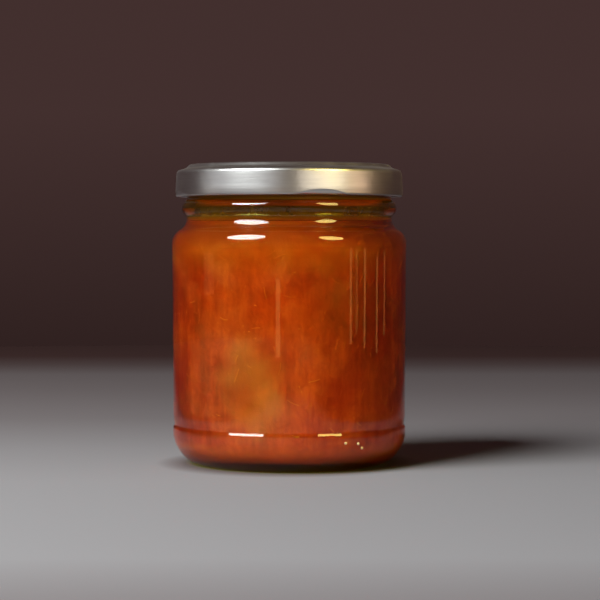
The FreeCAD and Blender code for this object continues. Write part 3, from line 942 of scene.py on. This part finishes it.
def make_floor(radius):
    bm = bmesh.new()
    bmesh.ops.create_circle(bm, cap_ends=True, segments=128, radius=radius)
    grown = bmesh.ops.extrude_edge_only(bm, edges=bm.edges[:])["geom"]
    lowered = [g for g in grown if isinstance(g, bmesh.types.BMVert)]
    bmesh.ops.translate(bm, verts=lowered, vec=(0, 0, -TABLE_THICK))
    bmesh.ops.recalc_face_normals(bm, faces=bm.faces[:])
    mesh = bpy.data.meshes.new("table_top")
    bm.to_mesh(mesh)
    bm.free()
    table = bpy.data.objects.new("table_top", mesh)
    bpy.context.scene.collection.objects.link(table)
    material, tree, output = new_material("paper_with_painted_light")
    tooth = noise_value(tree, object_space(tree), 600.0, 3.0)
    bump = add_node(tree, "ShaderNodeBump", Height=tooth, Strength=0.1, Distance=0.0003)
    place = add_node(tree, "ShaderNodeSeparateXYZ", Vector=object_space(tree))
    back = value_range(tree, place.outputs["Y"], 0.0, 1.0, *LANE_ENDS)
    colour = colour_ramp(tree, back, [(at, painted_pool_colour(share)) for at, share in LIGHT_POOL_STEPS])
    # painted shade: the floor goes dark beside the lane that the lens sees
    side = add_node(tree, "ShaderNodeMath", {"operation": "ABSOLUTE"})
    tree.links.new(place.outputs["X"], side.inputs[0])
    lane = add_node(tree, "ShaderNodeMath", {"operation": "MULTIPLY_ADD"})
    tree.links.new(place.outputs["Y"], lane.inputs[0])
    lane.inputs[1].default_value = -LANE_SPREAD
    tree.links.new(side.outputs[0], lane.inputs[2])
    shade_beside_lane = value_range(tree, lane.outputs[0], 0.0, 1.0, *LANE_EDGE)
    colour = mix_colour(tree, shade_beside_lane, colour, (*PAINTED_SHADE_FLOOR, 1))
    # painted contact shadow: a dark ring round the jar's foot
    away = add_node(tree, "ShaderNodeVectorMath", {"operation": "LENGTH"})
    tree.links.new(object_space(tree), away.inputs[0])
    painted_contact_shadow = value_range(tree, away.outputs["Value"], CONTACT_SHADOW_SHARE, 0.0, *CONTACT_SHADOW_RADII)
    colour = mix_colour(tree, painted_contact_shadow, colour, (*PAINTED_SHADE_FLOOR, 1))
    paper = add_node(tree, "ShaderNodeBsdfPrincipled", Base_Color=colour,
                     Roughness=0.85, Normal=bump.outputs["Normal"])
    paper.inputs["Specular IOR Level"].default_value = 0.2
    tree.links.new(paper.outputs["BSDF"], output.inputs["Surface"])
    mesh.materials.append(material)
    return table


table = make_floor(0.70)

# %% Lamps
LOOK_AT = Vector((0, 0, 0.5 * jar_height))


def soft_lamp(name, turn, rise, distance, width, height, radiance, colour=(1, 1, 1),
              shape="RECTANGLE"):
    """A panel lamp seen from the jar at a turn from the front and a rise, in degrees.

    Its strength is given as the radiance of its face, where 1 looks white.
    """
    data = bpy.data.lights.new(name, "AREA")
    data.shape = shape
    data.size, data.size_y = width, height
    area = width * height * (math.pi / 4 if shape == "ELLIPSE" else 1)
    data.energy = radiance * math.pi * area
    data.color = colour
    lamp = bpy.data.objects.new(name, data)
    turn, rise = math.radians(turn), math.radians(rise)
    away = Vector((math.sin(turn) * math.cos(rise), -math.cos(turn) * math.cos(rise),
                   math.sin(rise)))
    lamp.location = LOOK_AT + away * distance
    lamp.rotation_euler = (-away).to_track_quat("-Z", "Y").to_euler()
    lamp.visible_camera = False
    bpy.context.scene.collection.objects.link(lamp)
    print(f"{name}: {data.energy:.2f} W at {[round(v, 2) for v in lamp.location]}")
    return lamp


WINDOW, GOLD, CREAM, TAN = (0.96, 1, 0.96), (1, 0.78, 0.21), (1, 0.88, 0.74), (1, 0.66, 0.42)
EMBER, SKY = (1, 0.46, 0.11), (0.97, 0.98, 1)
window = soft_lamp("window_high", -50, 41, 1.0, 0.60, 0.64, 20.0, WINDOW, "ELLIPSE")
lamp_right = soft_lamp("lamp_right", 45, 35, 0.9, 0.35, 0.44, 15.0, GOLD, "ELLIPSE")
key = soft_lamp("key_for_the_jam", -24, 6, 0.30, 0.20, 0.20, 4.5)
back_key = soft_lamp("key_for_the_back", 180, 25, 0.9, 0.40, 0.50, 5.5)


def link_light(lamp, pieces, state):
    """Let a lamp light only these pieces (INCLUDE), or all but these (EXCLUDE)."""
    group = bpy.data.collections.new(f"{lamp.name}_{state.lower()}")
    for piece in pieces:
        group.objects.link(piece)
    for entry in group.collection_objects:
        entry.light_linking.link_state = state
    lamp.light_linking.receiver_collection = group


fruit = [core, flecks, fibres]
link_light(key, fruit, "INCLUDE")
link_light(back_key, fruit, "INCLUDE")
link_light(window, fruit, "EXCLUDE")
link_light(lamp_right, [*fruit, table], "EXCLUDE")

# %% Panels for the lid and neck
PANEL_DISTANCE = 1.1
LOW_PANELS = (
    # name, turn, rise, width, height, radiance and colour
    ("panel_window", -51, 11, 1.80, 0.20, 0.65, SKY),
    ("panel_cream", 34, 9, 0.92, 0.14, 3.1, CREAM),
    ("panel_tan", 72, 9, 0.46, 0.14, 2.1, TAN),
)
for name, turn, rise, width, height, radiance, colour in LOW_PANELS:
    panel = soft_lamp(name, turn, rise, PANEL_DISTANCE, width, height, radiance, colour)
    link_light(panel, [lid, film], "INCLUDE")

# %% Narrow lamps
STRIP_DISTANCE = 0.5
STRIPS = (
    # turn, height above the table, width, height and radiance
    (-82, 0.046, 0.110, 0.022, 0.8),
    (-10.5, 0.022, 0.036, 0.040, 2.2),
    (60, 0.034, 0.020, 0.050, 1.9),
    (66.5, 0.036, 0.020, 0.044, 1.0),
    (76, 0.033, 0.020, 0.052, 2.0),
    (92, 0.030, 0.020, 0.050, 1.6),
    (103, 0.036, 0.020, 0.044, 1.0),
)
for turn, lamp_height, width, height, radiance in STRIPS:
    rise = math.degrees(math.asin((lamp_height - LOOK_AT.z) / STRIP_DISTANCE))
    soft_lamp("strip", turn, rise, STRIP_DISTANCE, width, height, radiance, EMBER)

# %% [markdown]
# ### The room
# The world is a dim pinkish room, a little brighter above the level of the lens than below.

# %% World and view
ROOM_COLOUR = (1.0, 0.53, 0.50)
ROOM_LOW, ROOM_HIGH = 0.030, 0.055      # strength below and above
ROOM_LIFT = (-0.05, 0.06)               # where it changes, as the rise of the direction

world = bpy.data.worlds.new("studio")
world.use_nodes = True
sky = world.node_tree
sky.nodes["Background"].inputs["Color"].default_value = (*ROOM_COLOUR, 1)
direction = add_node(sky, "ShaderNodeTexCoord").outputs["Generated"]
lift = add_node(sky, "ShaderNodeSeparateXYZ", Vector=direction).outputs["Z"]
sky.links.new(value_range(sky, lift, ROOM_LOW, ROOM_HIGH, *ROOM_LIFT),
              sky.nodes["Background"].inputs["Strength"])
bpy.context.scene.world = world
bpy.context.scene.view_settings.view_transform = "Standard"
print("room strength", ROOM_LOW, "to", ROOM_HIGH)
